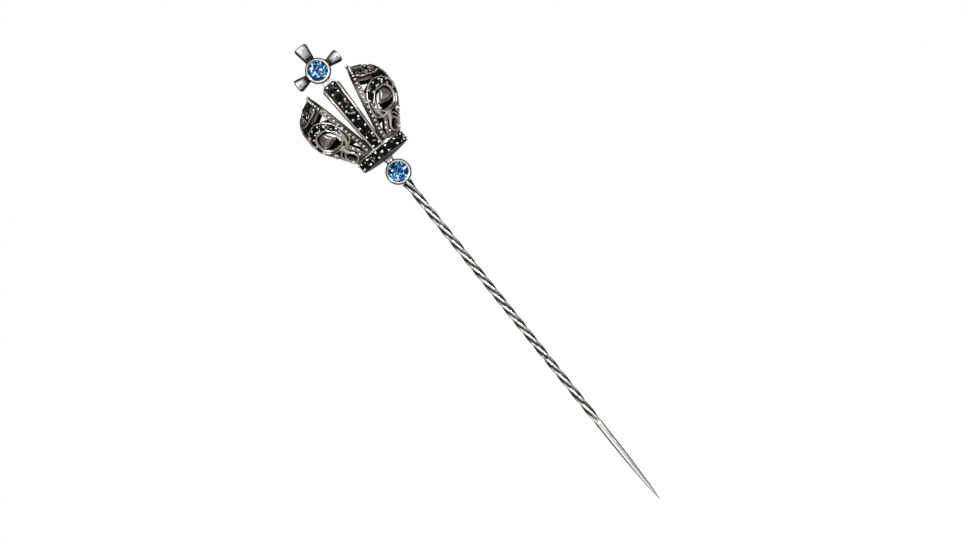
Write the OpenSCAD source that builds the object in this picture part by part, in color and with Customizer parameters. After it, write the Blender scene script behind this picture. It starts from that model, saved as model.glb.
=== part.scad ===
// A hat pin: a small openwork imperial crown with a cross on top, set with black and
// blue stones, on a twisted wire with a ground needle point.
//
// Frame: +Z runs up the wire from the point to the cross, the front of the crown faces -Y,
// and the origin is on the wire's axis, in the middle of the plain round shank.
// On the round crown an azimuth of 0 is the front, and it grows towards +X.

/* [Wire] */
// Width of the twisted wire across its corners
wire_w = 1.16; // [0.9:0.02:1.4]
// Length of the twisted stretch
twist_len = 43.4; // [30:0.2:60]
// Quarter turns of the wire along the twisted stretch
quarter_turns = 17; // [8:1:26]
// Width of the wire where it meets the lower bezel
flare_w = 1.5; // [1.2:0.05:1.8]
// Diameter of the plain round shank
shank_d = 1; // [0.8:0.02:1.1]
// Length of the plain round shank
shank_len = 3; // [2:0.25:6]
// Length of the tapered point
point_len = 9.8; // [6:0.2:16]

/* [Blue stones and their bezels] */
// Girdle diameter of each blue stone
blue_d = 3; // [2.5:0.05:3.5]
// Wall of the bezels
bezel_wall = 0.31; // [0.25:0.01:0.45]
// How far the bezel's lip reaches over the girdle
bezel_lip = 0.16; // [0.08:0.02:0.24]
// Depth of the bezels, front to back
bezel_depth = 2; // [1.8:0.05:2.6]

/* [Crown base] */
// Outer diameter of the base band
band_d = 7.54; // [7:0.02:9]
// Height of the base band
band_h = 1.62; // [1.5:0.02:2]
// Wall of the base band
band_wall = 0.75; // [0.7:0.05:1]
// Number of black stones round the band
band_count = 14; // [12:1:14]
// Girdle diameter of the black stones in the band and the arch
black_d = 1.32; // [1.2:0.04:1.32]
// How far the floor of the crown bulges below the band
floor_sag = 0.36; // [0.2:0.02:0.6]
// Gap between the lower bezel and the band, bridged by the neck post
post_gap = 0.87; // [0.7:0.01:1.5]
// Diameter of the neck post
post_d = 1.36; // [1:0.02:1.8]

/* [Crown lobes] */
// Radius of the crown at its widest
dome_r = 7.2; // [6.9:0.05:7.5]
// Height of the widest point above the seat ring
dome_mid = 6.2; // [6:0.1:6.4]
// Wall of the lobes
lobe_wall = 0.6; // [0.5:0.05:0.8]
// Distance from the middle to each lobe's cut edge at the seat ring
cut_x = 0.75; // [0.7:0.01:0.85]
// Lean of each lobe's cut edge away from the middle, in degrees
cut_lean = 12.5; // [11.5:0.5:13.5]
// Diameter of the beads along the cut edges
bead_d = 0.5; // [0.35:0.05:0.6]
// Distance from bead to bead
bead_pitch = 0.74; // [0.62:0.02:1]

/* [Rings of small stones] */
// Azimuth of each ring's middle, from the front or from the back
ring_azimuth = 47; // [45:1:50]
// Height of each ring's middle above the seat ring
ring_height = 4.65; // [4.4:0.05:5]
// Half the height of the open window in each ring
window_r = 1.45; // [1.2:0.05:1.5]
// How far each half of the window is drawn out sideways
window_half = 0.45; // [0:0.05:0.6]
// Distance from the window's axis to the line of small stones
halo_r = 2.2; // [2.15:0.05:2.4]
// Girdle diameter of the small black stones
halo_stone_d = 1.05; // [0.9:0.05:1.1]
// Distance from one small stone to the next
halo_pitch = 1.29; // [1.25:0.01:1.35]
// Number of small stones round each window
halo_count = 6; // [4:1:6]

/* [Arch] */
// Width of the arch at the band
arch_foot_w = 1.94; // [1.8:0.02:1.96]
// Width of the arch at its shoulders
arch_top_w = 2.76; // [2.4:0.02:3]
// Height of the arch's highest point above the seat ring
arch_h = 10.95; // [10.6:0.05:11.2]
// Height from one stone of the arch to the next
arch_pitch = 1.46; // [1.44:0.01:1.48]
// Number of black stones on each half of the arch
arch_count = 7; // [5:1:7]

/* [Cross] */
// Height of the cross's middle above the seat ring
cross_z = 13.38; // [13.1:0.02:13.8]
// Reach of the side arms from the cross's middle
side_reach = 3.72; // [3.4:0.02:4]
// Reach of the top arm from the cross's middle
top_reach = 4.2; // [3.8:0.02:4.6]
// Width of each arm at the bezel
arm_root_w = 1.3; // [1:0.05:1.5]
// Spread of each arm's two sides, in degrees
arm_spread = 17; // [8:1:20]
// Thickness of the arms, front to back
arm_t = 1.1; // [0.8:0.05:1.3]

/* [Hidden] */
$fn = 48;

// Larger than anything here, for cutting tools
big = 40;
// Overlap that keeps cutting tools clear of a shared face
eps = 0.01;
// Clearance round a stone in its seat
seat_gap = 0.01;
// Thickness of the raised settings on the lobes
halo_t = 0.3;
// Reach of those settings from the window's axis, round the stones and below them
halo_outer_r = 3;
halo_low_r = 2;
// Diameter of the grains that hold the black stones
grain_d = 0.4;
// Half the distance between the two grains of a pair
grain_offset = 0.42;
// How far a stone's girdle lies below the surface that it is set in
girdle_depth = 0.12;

bezel_r = blue_d / 2 + bezel_wall;
bezel_z = shank_len / 2 + twist_len + bezel_r;
band_z = bezel_z + bezel_r + post_gap;
seat_z = band_z + band_h;
seat_t = 0.15;
crown_z = seat_z + seat_t;
band_r = band_d / 2;
foot_r = band_r - 0.04;

// ---- Profiles of the dome and the arch -------------------------------------------------
// Each profile is a list of [radius, height above the crown's seat], from the foot upwards.

// Height of the curve above the widest point, and of the lower curve below it
dome_up = 5.2;
dome_down = 5.6;
// How full the upper curve is: 1 is an ellipse, and less than 1 is squarer
dome_power = 0.77;
// Angle at which the lower curve runs into the straight flare, and the dome's last angle
flare_a = -30;
dome_end_a = 74;

function lower_curve() = [
  for (a = [flare_a : -flare_a / 3 : -1]) [dome_r * cos(a), dome_mid + dome_down * sin(a)]
];
dome_profile = concat(
  [[foot_r, 0]],
  lower_curve(),
  [for (a = [0 : dome_end_a / 10 : dome_end_a + eps])
    [dome_r * pow(cos(a), dome_power), dome_mid + dome_up * pow(sin(a), dome_power)]]
);

// The arch leaves the dome's line at its widest point and flattens towards the top
arch_handles = [[dome_r, dome_mid], [dome_r, 10.2], [5.6, arch_h], [0, arch_h]];
function bezier(p, t) = pow(1 - t, 3) * p[0] + 3 * pow(1 - t, 2) * t * p[1]
  + 3 * (1 - t) * t * t * p[2] + pow(t, 3) * p[3];
arch_profile = concat(
  [[foot_r, 0]],
  lower_curve(),
  [for (i = [0 : 9]) bezier(arch_handles, i / 10)],
  [[0, bezier(arch_handles, 0.9)[1]]]
);
// The arch's crest is flat within this radius
crest_r = 1.6;

// Unit normal of a profile at its point i, pointing out of the crown, or up on the crest
function tangent_at(p, i) = p[min(i + 1, len(p) - 1)] - p[max(i - 1, 0)];
function normal_at(p, i) = let (t = tangent_at(p, i))
  p[i][0] < crest_r ? [0, 1] : [t[1], -t[0]] / norm(t);
// The profile moved out along its normals by h
function grown(p, h) = [for (i = [0 : len(p) - 1]) p[i] + h * normal_at(p, i)];
// Length along the profile up to point i
function run_to(p, i) = i == 0 ? 0 : run_to(p, i - 1) + norm(p[i] - p[i - 1]);
// The point at length s along the profile, and the slope there in degrees above level
function along(p, s) = [
  lookup(s, [for (i = [0 : len(p) - 1]) [run_to(p, i), p[i][0]]]),
  lookup(s, [for (i = [0 : len(p) - 1]) [run_to(p, i), p[i][1]]])
];
function facing(p, s) = let (t = along(p, s + 0.1) - along(p, s - 0.1)) atan2(-t[0], t[1]);
// Length along the profile at which it reaches height z
function length_at(p, z) = lookup(z, [for (i = [0 : len(p) - 1]) [p[i][1], run_to(p, i)]]);

// Puts children on a profile's surface at length s and an azimuth, with their +Z pointing out
module on_crown(p, s, azimuth) {
  at = along(p, s);
  translate([0, 0, crown_z])
    rotate([0, 0, azimuth])
      translate([0, -at[0], at[1]])
        rotate([90 - facing(p, s), 0, 0]) children();
}

// A skin that follows a profile all round the crown, from height low to high above it
module skin(p, low, high) {
  translate([0, 0, crown_z])
    rotate_extrude()
      intersection() {
        polygon(concat(grown(p, high), [for (i = [len(p) - 1 : -1 : 0]) grown(p, low)[i]]));
        square([big, big]);
      }
}

// Everything inside a profile
module inside(p) {
  translate([0, 0, crown_z])
    rotate_extrude() polygon(concat([[0, 0]], p, [[0, p[len(p) - 1][1]]]));
}

// Copies children to the other side of the crown, right or back
module side_of(right, back) {
  mirror([right ? 1 : 0, 0, 0])
    mirror([0, back ? 1 : 0, 0]) children();
}

// ---- Stones, seats and bezels ----------------------------------------------------------

// A round stone with its girdle's top at z = 0 and its table towards +Z
module round_stone(d) {
  girdle = 0.03 * d;
  rotate_extrude()
    polygon([
      [0, -girdle - 0.42 * d], [d / 2, -girdle], [d / 2, 0],
      [0.29 * d, 0.15 * d], [0, 0.15 * d]
    ]);
}

// The seat of a small stone: a hole for its pavilion and a recess for its girdle
module seat(d) {
  hole_r = 0.36 * d;
  recess = girdle_depth + 0.03 * d + 0.42 * d * (1 - hole_r / (d / 2)) + seat_gap;
  translate([0, 0, -2]) cylinder(r = hole_r, h = 4);
  translate([0, 0, -recess]) cylinder(r = d / 2 + seat_gap, h = recess + 2);
}

// A stone sunk into the surface at z = 0
module set_stone(d) {
  translate([0, 0, -girdle_depth]) round_stone(d);
}

// A tube that holds a blue stone, with its middle at the origin and its lip facing -Y
module bezel() {
  lip_t = 0.3;
  crown_low = 0.42 * blue_d;
  seat_r = blue_d / 2 + seat_gap;
  rotate([90, 0, 0])
    translate([0, 0, bezel_depth / 2])
      rotate_extrude()
        polygon([
          [blue_d / 2 - bezel_lip, 0], [bezel_r - 0.08, 0], [bezel_r, -0.08],
          [bezel_r, -bezel_depth], [0.9, -bezel_depth], [0.9, -lip_t - crown_low * 0.42],
          [seat_r, -lip_t - 0.1 - seat_gap], [seat_r, -lip_t + seat_gap]
        ]);
}

module blue_stone() {
  girdle_y = -bezel_depth / 2 + 0.3;
  translate([0, girdle_y, 0]) rotate([90, 0, 0]) round_stone(blue_d);
}

// ---- Wire and lower setting ------------------------------------------------------------

// Half-width of the twisted wire at height z of its stretch, with the flare at its top
function wire_half(z) = wire_w / 2
  + (flare_w - wire_w) / 2 * pow(max(0, 1 - (twist_len - z) / 3), 2)
  - (wire_w - shank_d) / 2 * pow(max(0, 1 - z / 3), 2);
// Turn of the wire at height z: the quarter turns are longer towards both ends
function wire_turn(z) = let (u = z / twist_len)
  -90 * quarter_turns * (u - 0.14 * sin(360 * u) / PI / 2);
// Section of the wire: a square with soft corners and hollow sides, or round at blend 0
function wire_section(half, turn, z, blend) = [
  for (a = [0 : 360 / wire_sides : 359])
    let (r = half * (1 - 0.26 * blend * (0.5 - 0.5 * cos(4 * a))))
    [r * cos(a + turn), r * sin(a + turn), z]
];
wire_steps = 112;
wire_sides = 12;
// The section is round where it meets the shank
function wire_blend(z) = min(1, z / 2);

module twisted_wire() {
  sides = wire_sides;
  rings = [
    for (i = [0 : wire_steps])
      let (z = twist_len * i / wire_steps)
      wire_section(wire_half(z), wire_turn(z), z, wire_blend(z))
  ];
  points = [for (ring = rings, p = ring) p];
  faces = concat(
    [[for (k = [sides - 1 : -1 : 0]) k]],
    [for (i = [0 : wire_steps - 1], k = [0 : sides - 1], half = [0, 1])
      let (a = i * sides + k, b = i * sides + (k + 1) % sides)
      half == 0 ? [a, b, b + sides] : [a, b + sides, a + sides]],
    [[for (k = [0 : sides - 1]) wire_steps * sides + k]]
  );
  polyhedron(points, [for (f = faces) [for (k = [len(f) - 1 : -1 : 0]) f[k]]]);
}

module pin_wire() {
  point_z = -shank_len / 2;
  color("silver") {
    translate([0, 0, point_z]) cylinder(d = shank_d, h = shank_len);
    translate([0, 0, point_z - point_len])
      rotate_extrude()
        polygon([
          [0, 0], [0.05, 0.08], [0.31 * shank_d, 0.28 * point_len],
          [0.43 * shank_d, 0.62 * point_len], [shank_d / 2, point_len], [0, point_len]
        ]);
    translate([0, 0, shank_len / 2]) twisted_wire();
  }
}

module lower_bezel() {
  color("silver") translate([0, 0, bezel_z]) bezel();
}

module lower_blue_stone() {
  color("dodgerblue") translate([0, 0, bezel_z]) blue_stone();
}

module neck_post() {
  color("silver")
    difference() {
      translate([0, 0, bezel_z]) cylinder(d = post_d, h = bezel_r + post_gap);
      translate([0, 0, bezel_z]) rotate([90, 0, 0]) cylinder(r = bezel_r, h = 4, center = true);
      bowl(1);
    }
}

// ---- Crown base ------------------------------------------------------------------------

// The bowl under the band: its curved underside, filled up to a height above the band's foot
module bowl(height) {
  rim_r = band_r - 0.1;
  translate([0, 0, band_z])
    rotate_extrude()
      polygon(concat(
        [for (i = [0 : 6]) let (r = rim_r * i / 6) [r, -floor_sag * (1 - pow(i / 6, 2))]],
        [[rim_r, height], [0, height]]
      ));
}

module crown_floor() {
  color("silver") bowl(0);
}

module base_band() {
  color("dimgray")
    difference() {
      translate([0, 0, band_z])
        rotate_extrude()
          translate([band_r - band_wall, 0]) square([band_wall, band_h]);
      at_band_stones() seat(black_d);
    }
}

// Copies children to every stone's place on the band, with +Z pointing out
module at_band_stones(half_step = false) {
  step = 360 / band_count;
  for (i = [0 : band_count - 1])
    rotate([0, 0, step * (i + (half_step ? 0.5 : 0))])
      translate([0, -band_r, band_z + band_h / 2])
        rotate([90, 0, 0]) children();
}

module band_stones() {
  color("black") at_band_stones() set_stone(black_d);
}

module band_grains() {
  color("silver")
    at_band_stones(true) rotate([0, 0, 90]) grain_pair();
}

// The part of a ball of diameter d that stands proud of the surface at z = 0
module bead(d) {
  rotate_extrude()
    intersection() {
      circle(d = d);
      square([d, d]);
    }
}

// Two grains side by side along X
module grain_pair() {
  for (x = [-grain_offset, grain_offset]) translate([x, 0, 0]) bead(grain_d);
}

module seat_ring() {
  color("silver")
    translate([0, 0, seat_z])
      rotate_extrude()
        translate([band_r - band_wall - 0.1, 0]) square([band_wall + 0.15, seat_t]);
}

// ---- Lobes -----------------------------------------------------------------------------

ring_s = length_at(dome_profile, ring_height);
// Width left for the beads along each cut edge
rail = 0.9;
// Gap between the foot of each lobe and the arch
arch_gap = 0.03;
// The knob at each lobe's tip: its diameter, and its distance out and height above the seat
knob_d = 0.56;
knob_x = 3.45;
knob_h = 11.28;

// The space left of the left lobe's cut plane, moved right by shift
module left_of_cut(shift = 0) {
  translate([-cut_x + shift, 0, crown_z])
    rotate([0, -cut_lean, 0])
      translate([-big, -big / 2, -big / 2]) cube([big, big, big]);
}

// Copies children to a place on the left lobe, +Z out, +Y up and +X towards the crown's side
module on_left(height, azimuth, back) {
  side_of(false, back)
    on_crown(dome_profile, length_at(dome_profile, height), -azimuth)
      mirror([1, 0, 0]) children();
}

module at_left_ring(back) {
  on_left(ring_height, ring_azimuth, back) children();
}

// The point at length s along the line of small stones, from the crown's side up and over
function on_ring(s) = let (quarter = halo_r * PI / 2, flat = 2 * window_half, deg = 180 / PI / halo_r)
  s < quarter ? [window_half + halo_r * cos(s * deg), halo_r * sin(s * deg)]
  : s < quarter + flat ? [window_half + quarter - s, halo_r]
  : [-window_half + halo_r * cos((s - flat) * deg), halo_r * sin((s - flat) * deg)];

// Copies children to each small stone's place on the raised setting of the left lobe
module at_halo_stones(back) {
  for (i = [0 : halo_count - 1])
    let (p = on_ring(halo_pitch * i), s = ring_s + p[1], r = along(dome_profile, s)[0])
      side_of(false, back)
        on_crown(dome_profile, s, -ring_azimuth - p[0] / r * 180 / PI)
          translate([0, 0, halo_t]) children();
}

// A prism through the wall with round ends, w wide and h long along +Y before it is turned
module slot(w, h, depth = 3) {
  straight = max(h - w, eps);
  translate([0, 0, -depth / 2]) {
    translate([0, straight / 2, 0]) cylinder(d = w, h = depth);
    translate([0, -straight / 2, 0]) cylinder(d = w, h = depth);
    translate([-w / 2, -straight / 2, 0]) cube([w, straight, depth]);
  }
}

// The same prism lying along X, with ends of radius r drawn out by the window's half
module wide_slot(r, depth = 4) {
  rotate([0, 0, 90]) slot(2 * r, 2 * (r + window_half), depth);
}

// The slits of the openwork, by height, azimuth, width, length and lean towards the side
slits = [
  [2.85, 23.5, 0.36, 0.8, 0], [1.85, 27, 0.3, 1.1, 35],
  [9.1, 69, 0.45, 1, 0], [2.6, 67.5, 0.4, 0.55, 0], [1.3, 70, 0.5, 1.3, 20],
  [4.65, 90, 1, 2.6, 0], [1.6, 90, 0.7, 1.5, 0], [8.1, 90, 0.9, 1.5, 0]
];

module left_openings(back) {
  for (o = slits) on_left(o[0], o[1], back) rotate([0, 0, -o[4]]) slot(o[2], o[3]);
  on_left(7.85, 32, back)
    linear_extrude(height = 3, center = true) polygon([[-0.3, 0.55], [0.87, 0.05], [-0.5, -0.6]]);
}

// The eye below the window: its place, and its hollow and collar as widths and lengths
eye_height = 1.2;
eye_azimuth = 53;
eye_lean = 53;
eye_w = 0.95;
eye_len = 1.8;
eye_rim = 0.32;

module at_eye(back) {
  on_left(eye_height, eye_azimuth, back) rotate([0, 0, -eye_lean]) children();
}

module left_lobe_shape() {
  difference() {
    union() {
      intersection() {
        skin(dome_profile, -lobe_wall, 0);
        left_of_cut();
      }
      translate([-knob_x, 0, crown_z + knob_h]) sphere(d = knob_d);
    }
    arch_outline(-arch_gap);
    for (back = [false, true]) {
      at_left_ring(back) wide_slot(window_r);
      at_halo_stones(back) seat(halo_stone_d);
      left_openings(back);
      at_eye(back) slot(eye_w, eye_len, 0.6);
    }
  }
}

module left_lobe() {
  color("gray") left_lobe_shape();
}

module right_lobe() {
  color("gray") side_of(true, false) left_lobe_shape();
}

// The line of beads along the left lobe's cut edge, by length s along the dome's profile
bead_inset = 0.5;
// The beads stop this far from the line's highest point, where the knob stands
bead_end = 0.1;
function edge_at(s) = let (p = along(dome_profile, s), x = cut_x + bead_inset + p[1] * tan(cut_lean))
  [x, sqrt(max(0, p[0] * p[0] - x * x)), p[1]];
edge_s = [
  for (s = [0.8 : 0.15 : run_to(dome_profile, len(dome_profile) - 1)])
    if (along(dome_profile, s)[0] - edge_at(s)[0] > bead_end) s
];
function edge_run(i) = i == 0 ? 0 : edge_run(i - 1) + norm(edge_at(edge_s[i]) - edge_at(edge_s[i - 1]));
edge_table = [for (i = [0 : len(edge_s) - 1]) [edge_run(i), edge_s[i]]];

module edge_beads_shape() {
  for (back = [false, true], l = [0.1 : bead_pitch : edge_table[len(edge_table) - 1][0]])
    let (s = lookup(l, edge_table), at = edge_at(s), azimuth = -atan2(at[0], at[1]))
    side_of(false, back)
      on_crown(dome_profile, s, azimuth) bead(bead_d);
}

module left_edge_beads() {
  color("silver") edge_beads_shape();
}

module right_edge_beads() {
  color("silver") side_of(true, false) edge_beads_shape();
}

// The raised setting round the window: wide round the stones above, narrow below
module halo_shape(back) {
  difference() {
    intersection() {
      skin(dome_profile, 0, halo_t);
      left_of_cut(-rail);
      at_left_ring(back)
        union() {
          wide_slot(halo_low_r);
          intersection() {
            wide_slot(halo_outer_r);
            translate([-5, -0.6, -5]) cube(10);
          }
        }
    }
    at_left_ring(back) wide_slot(window_r, 6);
    at_halo_stones(back) seat(halo_stone_d);
    left_openings(back);
  }
}

module halo_stones_shape(back) {
  at_halo_stones(back) set_stone(halo_stone_d);
}

// A pointed leaf across the upper part of the window, a little below the surface
module leaf_shape(back) {
  intersection() {
    skin(dome_profile, -0.5, -0.2);
    at_left_ring(back) wide_slot(window_r);
    at_left_ring(back)
      linear_extrude(height = 4, center = true)
        polygon([
          [-0.85, 1.6], [-0.72, 0.7], [-0.84, 0.2], [-1.5, -0.38], [-0.9, -0.5],
          [0.9, -0.56], [1.6, -0.42], [2.2, -0.1], [2.2, 1.6]
        ]);
  }
}

// The raised oval collar round the eye, with the strap that ties it to the ring
module eyelet_shape(back) {
  difference() {
    intersection() {
      skin(dome_profile, 0, halo_t);
      union() {
        at_eye(back) slot(eye_w + 2 * eye_rim, eye_len + 2 * eye_rim);
        on_left(2.1, 43.5, back) rotate([0, 0, 15]) slot(0.9, 2.1);
      }
    }
    at_eye(back) slot(eye_w, eye_len, 6);
    at_left_ring(back) wide_slot(halo_low_r, 6);
    left_openings(back);
  }
}

// The raised scroll above the ring: a strap that rises to the cut edge, and a curl's collar
module scroll_shape(back) {
  difference() {
    intersection() {
      skin(dome_profile, 0, halo_t);
      left_of_cut(-rail);
      union() {
        on_left(8.85, 54, back) rotate([0, 0, 76]) slot(0.4, 4.4);
        on_left(9.1, 69, back) slot(0.95, 1.5);
        on_left(10.15, 44, back) rotate([0, 0, 60]) slot(0.4, 2.4);
      }
    }
    left_openings(back);
  }
}

module left_front_halo() { color("gray") halo_shape(false); }
module left_back_halo() { color("gray") halo_shape(true); }
module right_front_halo() { color("gray") side_of(true, false) halo_shape(false); }
module right_back_halo() { color("gray") side_of(true, false) halo_shape(true); }

module left_front_halo_stones() { color("black") halo_stones_shape(false); }
module left_back_halo_stones() { color("black") halo_stones_shape(true); }
module right_front_halo_stones() { color("black") side_of(true, false) halo_stones_shape(false); }
module right_back_halo_stones() { color("black") side_of(true, false) halo_stones_shape(true); }

module left_front_leaf() { color("silver") leaf_shape(false); }
module left_back_leaf() { color("silver") leaf_shape(true); }
module right_front_leaf() { color("silver") side_of(true, false) leaf_shape(false); }
module right_back_leaf() { color("silver") side_of(true, false) leaf_shape(true); }

module left_front_eyelet() { color("silver") eyelet_shape(false); }
module left_back_eyelet() { color("silver") eyelet_shape(true); }
module right_front_eyelet() { color("silver") side_of(true, false) eyelet_shape(false); }
module right_back_eyelet() { color("silver") side_of(true, false) eyelet_shape(true); }

module left_front_scroll() { color("gray") scroll_shape(false); }
module left_back_scroll() { color("gray") scroll_shape(true); }
module right_front_scroll() { color("gray") side_of(true, false) scroll_shape(false); }
module right_back_scroll() { color("gray") side_of(true, false) scroll_shape(true); }

// ---- Arch ------------------------------------------------------------------------------

arch_t = 0.9;
shoulder_z = arch_h - 0.5;
groove_depth = 0.14;
rail_w = 0.3;
// Heights of the lowest stone and of the last pair of grains, and the groove's two ends
arch_first = 1.13;
arch_last_grain = arch_h - 0.5;
groove_start = 0.06;
groove_end = arch_h - 0.15;
// Half the width and the height of the arch's neck, under the foot of the cross
neck_half = 0.9;
neck_z = arch_h + 0.08;

// The arch as seen from the front, less a margin on each side, pushed through the crown
module arch_outline(margin) {
  foot = arch_foot_w / 2 - margin;
  top = arch_top_w / 2 - margin;
  neck = neck_half - margin;
  translate([0, big / 2, crown_z])
    rotate([90, 0, 0])
      linear_extrude(height = big)
        polygon([
          [-foot, 0], [foot, 0], [top, shoulder_z], [neck, neck_z], [neck, arch_h + 1],
          [-neck, arch_h + 1], [-neck, neck_z], [-top, shoulder_z]
        ]);
}

// Copies children to the stones of one half of the arch, +Z out
module at_arch_stones(back, half_step = false) {
  last = half_step ? arch_count : arch_count - 1;
  for (i = [0 : last])
    let (z = arch_first + arch_pitch * (i - (half_step ? 0.5 : 0)))
      side_of(false, back)
        on_crown(arch_profile, length_at(arch_profile, min(z, arch_last_grain)), 0)
          children();
}

module arch_channel() {
  color("silver")
    difference() {
      intersection() {
        skin(arch_profile, -arch_t + groove_depth, groove_depth);
        arch_outline(0);
      }
      intersection() {
        skin(arch_profile, 0, 1);
        arch_outline(rail_w);
        translate([-big / 2, -big / 2, crown_z + groove_start])
          cube([big, big, groove_end - groove_start]);
      }
      for (back = [false, true]) at_arch_stones(back) seat(black_d);
    }
}

module arch_front_stones() { color("black") at_arch_stones(false) set_stone(black_d); }
module arch_back_stones() { color("black") at_arch_stones(true) set_stone(black_d); }

module arch_grains_shape(back) {
  at_arch_stones(back, true) grain_pair();
}

module arch_front_grains() { color("silver") arch_grains_shape(false); }
module arch_back_grains() { color("silver") arch_grains_shape(true); }

// ---- Cross -----------------------------------------------------------------------------

// One arm of the cross, pointing to +Z from the cross's middle, with a rounded end
module arm(reach) {
  wide = arm_root_w / 2 + (reach - bezel_r) * tan(arm_spread / 2);
  end_r = 0.62 * reach;
  difference() {
    rotate([90, 0, 0])
      linear_extrude(height = arm_t, center = true)
        intersection() {
          polygon([
            [-arm_root_w / 2, bezel_r - 0.3], [arm_root_w / 2, bezel_r - 0.3],
            [wide, reach], [-wide, reach]
          ]);
          translate([0, reach - end_r]) circle(r = end_r);
        }
    rotate([90, 0, 0]) cylinder(r = bezel_r, h = 4, center = true);
  }
}

module at_cross() {
  translate([0, 0, crown_z + cross_z]) children();
}

module cross_foot() {
  color("silver")
    difference() {
      at_cross() rotate([0, 180, 0]) arm(cross_z - arch_h + 0.3);
      inside(grown(arch_profile, groove_depth));
    }
}

module cross_bezel() { color("silver") at_cross() bezel(); }
module cross_blue_stone() { color("dodgerblue") at_cross() blue_stone(); }
module cross_top_arm() { color("silver") at_cross() arm(top_reach); }
module cross_left_arm() { color("silver") at_cross() rotate([0, -90, 0]) arm(side_reach); }
module cross_right_arm() { color("silver") at_cross() rotate([0, 90, 0]) arm(side_reach); }

// ---- Nodes -----------------------------------------------------------------------------

pin_wire();
lower_bezel();
lower_blue_stone();
neck_post();
crown_floor();
base_band();
band_stones();
band_grains();
seat_ring();
left_lobe();
right_lobe();
left_edge_beads();
right_edge_beads();
left_front_halo();
left_back_halo();
right_front_halo();
right_back_halo();
left_front_halo_stones();
left_back_halo_stones();
right_front_halo_stones();
right_back_halo_stones();
left_front_leaf();
left_back_leaf();
right_front_leaf();
right_back_leaf();
left_front_eyelet();
left_back_eyelet();
right_front_eyelet();
right_back_eyelet();
left_front_scroll();
left_back_scroll();
right_front_scroll();
right_back_scroll();
arch_channel();
arch_front_stones();
arch_back_stones();
arch_front_grains();
arch_back_grains();
cross_foot();
cross_bezel();
cross_blue_stone();
cross_top_arm();
cross_left_arm();
cross_right_arm();
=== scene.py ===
"""The looks of a hat pin: an openwork silver crown with black and blue stones on a twisted wire.

Shapes are worked out in millimetres in the frame's own axes, and turned into metres when a piece
is made. On the crown, an azimuth of 0 is the front (-Y) and 90 is the right side (+X), a height
is counted from the crown's seat, and a lift is the distance out from the dome's surface.
"""

from math import asin, atan2, copysign, cos, degrees, hypot, pi, radians, sin, sqrt, tan

import bmesh
import bpy
import numpy as np
from mathutils import Matrix, Vector


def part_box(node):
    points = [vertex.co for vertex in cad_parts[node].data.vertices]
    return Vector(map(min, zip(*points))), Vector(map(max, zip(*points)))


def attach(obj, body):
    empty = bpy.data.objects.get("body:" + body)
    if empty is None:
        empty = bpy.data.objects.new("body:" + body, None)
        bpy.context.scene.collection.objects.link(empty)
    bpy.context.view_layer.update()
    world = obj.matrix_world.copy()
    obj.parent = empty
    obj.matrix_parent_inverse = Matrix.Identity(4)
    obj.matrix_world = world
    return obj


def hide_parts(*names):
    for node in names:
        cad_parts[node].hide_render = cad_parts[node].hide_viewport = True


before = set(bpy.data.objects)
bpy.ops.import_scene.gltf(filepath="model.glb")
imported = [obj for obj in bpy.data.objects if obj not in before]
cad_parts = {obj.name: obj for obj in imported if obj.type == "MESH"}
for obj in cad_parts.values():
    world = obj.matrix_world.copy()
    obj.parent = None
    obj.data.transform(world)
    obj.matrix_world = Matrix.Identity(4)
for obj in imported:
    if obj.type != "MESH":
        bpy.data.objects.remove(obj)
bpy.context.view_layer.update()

MM = 0.001


def box_mm(node):
    """A CAD node's lowest and highest corner in millimetres."""
    low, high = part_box(node)
    return Vector(low) / MM, Vector(high) / MM


# ---- Places and sizes, from the frame ----

seat_low, seat_high = box_mm("seat_ring")
band_low, band_high = box_mm("base_band")
floor_low, floor_high = box_mm("crown_floor")
post_low, post_high = box_mm("neck_post")
lobe_high = box_mm("right_lobe")[1]
arch_high = box_mm("arch_channel")[1]
wire_low, wire_high = box_mm("pin_wire")
bezel_low, bezel_high = box_mm("lower_bezel")
cross_low, cross_high = box_mm("cross_bezel")
top_arm_high = box_mm("cross_top_arm")[1]
side_arm_high = box_mm("cross_right_arm")[1]

CROWN_Z = seat_high.z
BAND_R = band_high.x
DOME_R = lobe_high.x
ARCH_TOP = arch_high.z - CROWN_Z
BEZEL_R = bezel_high.x
BEZEL_Z = (bezel_low.z + bezel_high.z) / 2
CROSS_Z = (cross_low.z + cross_high.z) / 2
BEZEL_FRONT = -bezel_low.y


# ---- Solids ----


def turns_of(count, shift=0.0):
    """Evenly spaced angles round a full turn."""
    return [2 * pi * (k + shift) / count for k in range(count)]


def circle(radius, z, count, shift=0.0):
    return [Vector((radius * cos(t), radius * sin(t), z)) for t in turns_of(count, shift)]


def link(thing):
    bpy.context.scene.collection.objects.link(thing)
    return thing


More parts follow.
